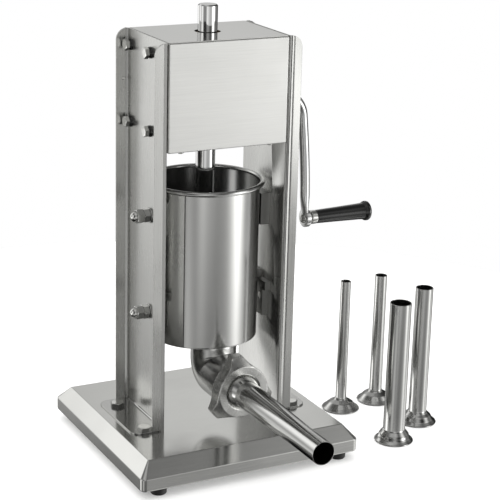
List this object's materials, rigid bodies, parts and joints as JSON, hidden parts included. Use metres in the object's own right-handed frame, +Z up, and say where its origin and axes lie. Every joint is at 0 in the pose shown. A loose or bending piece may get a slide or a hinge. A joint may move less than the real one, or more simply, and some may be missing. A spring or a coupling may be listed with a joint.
{
  "type": "sausage stuffer",
  "caption": "Hand-cranked vertical sausage stuffer: a geared rack pushes a piston down a steel cylinder and out through a screwed-on stuffing tube, with loose tubes beside it.",
  "frame": {"origin": "point on the floor straight below the axis of the cylinder and of the rack rod", "axes": "+X to the crank, +Y to the back, +Z up; the stuffing tube points along -Y"},
  "size_m": [0.4764, 0.467, 0.5835],
  "materials": {
    "stainless_sheet": "fine brushed stainless sheet",
    "stainless_polished": "polished stainless",
    "rod_chrome": "hard chromed steel",
    "fastener_steel": "bright zinc or stainless fasteners",
    "nut_casting": "satin cast metal",
    "machined_steel": "machined steel gears and shafts",
    "plate_steel": "dark grey painted plates",
    "bronze": "bronze bushes",
    "grip_black": "glossy black plastic",
    "rubber_black": "black rubber",
    "seal_white": "white silicone"
  },
  "bodies": {
    "frame": {"base_pan": "stainless_sheet", "left_upright": "stainless_sheet", "right_upright": "stainless_sheet", "head_front_cover": "stainless_sheet", "head_top_plate": "stainless_sheet", "head_back_cover": "stainless_sheet", "cylinder_barrel": "stainless_polished", "cylinder_bottom": "stainless_polished", "cylinder_lugs": "stainless_polished", "outlet_elbow": "stainless_polished", "threaded_collar": "stainless_polished", "foot_screws": "fastener_steel", "foot_screw_nuts": "fastener_steel", "upright_bolts": "fastener_steel", "upright_washers": "fastener_steel", "upright_nuts": "fastener_steel", "cover_screws": "fastener_steel", "frame_screws": "fastener_steel", "head_bolts": "fastener_steel", "head_spring_washers": "fastener_steel", "head_flat_washers": "fastener_steel", "support_studs": "fastener_steel", "stud_hardware": "fastener_steel", "lower_cradles": "machined_steel", "upper_stops": "machined_steel", "left_bearing_plate": "plate_steel", "right_bearing_plate": "plate_steel", "inner_bearing_plate": "plate_steel", "lower_guide_plate": "plate_steel", "upper_guide_plate": "plate_steel", "rod_guide_bushes": "bronze", "main_shaft_bushes": "bronze", "drive_shaft_bushes": "bronze", "rubber_feet": "rubber_black"},
    "piston": {"rack_rod": "rod_chrome", "piston_plate": "stainless_polished", "piston_seal": "seal_white", "piston_screw": "fastener_steel", "valve_body": "fastener_steel"},
    "valve": {"valve_pin": "fastener_steel", "valve_spring": "fastener_steel"},
    "main_gear": {"main_shaft": "machined_steel", "rack_pinion": "machined_steel", "large_gear": "machined_steel", "main_shaft_keys": "machined_steel"},
    "crank": {"drive_shaft": "machined_steel", "small_gear": "machined_steel", "drive_shaft_key": "machined_steel", "crank_arm": "stainless_polished", "crank_set_screw": "fastener_steel", "grip_spindle": "stainless_polished", "spindle_nut": "fastener_steel"},
    "grip": {"grip_ferrule": "stainless_polished", "crank_grip": "grip_black"},
    "tube": {"stuffing_tube": "stainless_polished"},
    "nut": {"wing_nut": "nut_casting"},
    "spare_14": {"spare_tube_14": "stainless_polished"},
    "spare_17": {"spare_tube_17": "stainless_polished"},
    "spare_24": {"spare_tube_24": "stainless_polished"},
    "spare_29": {"spare_tube_29": "stainless_polished"}
  },
  "joints": [
    {"name": "crank_turn", "type": "hinge", "parent": "frame", "child": "crank", "pos_m": [0.1, -0.01, 0.4635], "axis": [1, 0, 0], "range_deg": [0, 1690]},
    {"name": "main_gear_turn", "type": "hinge", "parent": "frame", "child": "main_gear", "pos_m": [0, 0.025, 0.4807], "axis": [1, 0, 0], "range_deg": [-752, 0]},
    {"name": "piston_slide", "type": "slide", "parent": "frame", "child": "piston", "axis": [0, 0, 1], "range_m": [0, 0.21]},
    {"name": "grip_spin", "type": "hinge", "parent": "crank", "child": "grip", "pos_m": [0.2, -0.01, 0.2925], "axis": [1, 0, 0], "continuous": true},
    {"name": "valve_press", "type": "slide", "parent": "piston", "child": "valve", "axis": [0, 0, -1], "range_m": [0, 0.003], "stiffness_N_per_m": 600, "springref_m": -0.004, "deforming": ["valve_spring"]},
    {"name": "nut_turn", "type": "hinge", "parent": "tube", "child": "nut", "pos_m": [0, -0.11, 0.1085], "axis": [0, -1, 0], "range_deg": [0, 1920]},
    {"name": "tube_draw", "type": "slide", "parent": "frame", "child": "tube", "axis": [0, -1, 0], "range_m": [0, 0.0161]},
    {"name": "spare_tube_14_lift", "type": "slide", "parent": "frame", "child": "spare_14", "axis": [0, 0, 1], "range_m": [0, 0.08]},
    {"name": "spare_tube_17_lift", "type": "slide", "parent": "frame", "child": "spare_17", "axis": [0, 0, 1], "range_m": [0, 0.08]},
    {"name": "spare_tube_24_lift", "type": "slide", "parent": "frame", "child": "spare_24", "axis": [0, 0, 1], "range_m": [0, 0.08]},
    {"name": "spare_tube_29_lift", "type": "slide", "parent": "frame", "child": "spare_29", "axis": [0, 0, 1], "range_m": [0, 0.08]}
  ],
  "couplings": [
    {"joint": "main_gear_turn", "follows": "crank_turn", "ratio": -0.44444},
    {"joint": "piston_slide", "follows": "crank_turn", "m_per_rad": 0.0071111},
    {"joint": "tube_draw", "follows": "nut_turn", "m_per_rad": 0.0004775}
  ]
}
